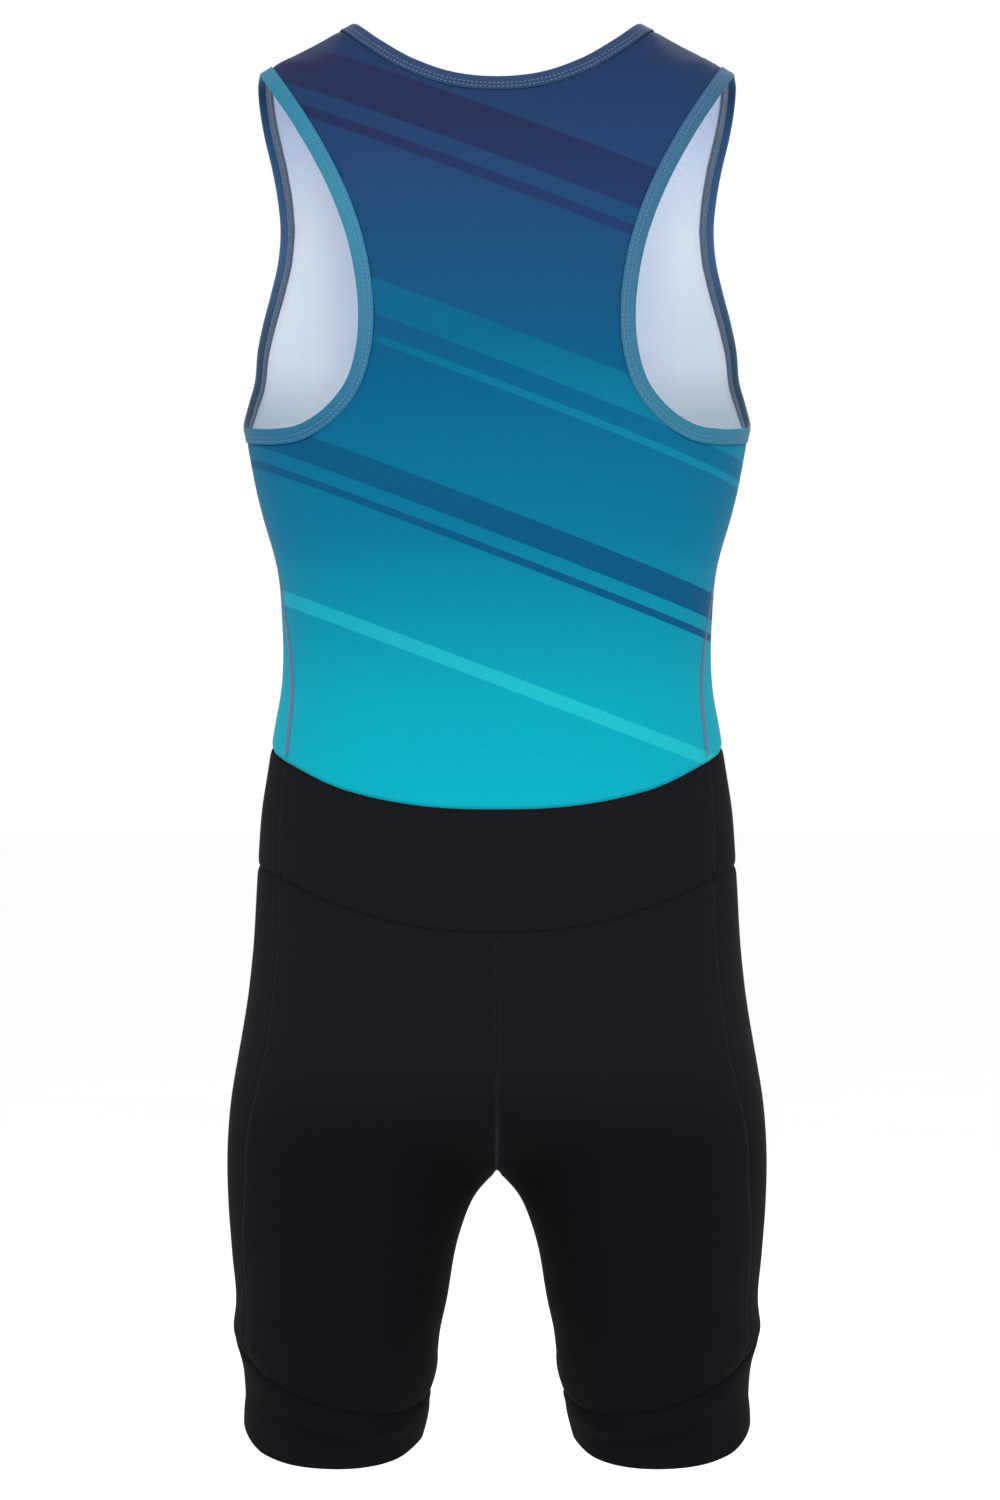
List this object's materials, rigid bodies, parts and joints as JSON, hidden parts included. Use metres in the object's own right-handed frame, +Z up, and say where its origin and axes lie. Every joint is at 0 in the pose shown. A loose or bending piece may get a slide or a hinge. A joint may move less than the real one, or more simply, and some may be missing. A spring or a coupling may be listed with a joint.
{
  "type": "rowing suit",
  "caption": "Sleeveless one-piece rowing suit in its hollow worn form, with a racer back, a scoop neck, a curved waist yoke and mid-thigh shorts with leg bands",
  "frame": {"origin": "midway between the shoulders, at the height of the middle of the shoulder seams, where the wearer carries the suit", "axes": "+X towards the wearer's right, -Y towards the wearer's back, +Z up towards the head"},
  "size_m": [0.3442, 0.2332, 0.916],
  "materials": {
    "printed_knit": "smooth polyester and elastane knit, printed from navy at the shoulders to cyan at the waist",
    "front_knit": "the same knit, with an unprinted pale inside",
    "black_knit": "matte black stretch knit",
    "cuff_knit": "matte black stretch knit, doubled",
    "neck_tape": "navy folded knit binding with two rows of stitches",
    "armhole_tape": "teal folded knit binding with two rows of stitches"
  },
  "bodies": {
    "root": {"back_panel": "printed_knit", "front_panel": "front_knit", "waist_back": "black_knit", "waist_front": "black_knit", "shorts_back_left": "black_knit", "shorts_back_right": "black_knit", "shorts_front_left": "black_knit", "shorts_front_right": "black_knit", "cuff_left": "cuff_knit", "cuff_right": "cuff_knit", "neck_binding": "neck_tape", "armhole_binding_left": "armhole_tape", "armhole_binding_right": "armhole_tape"}
  },
  "joints": []
}
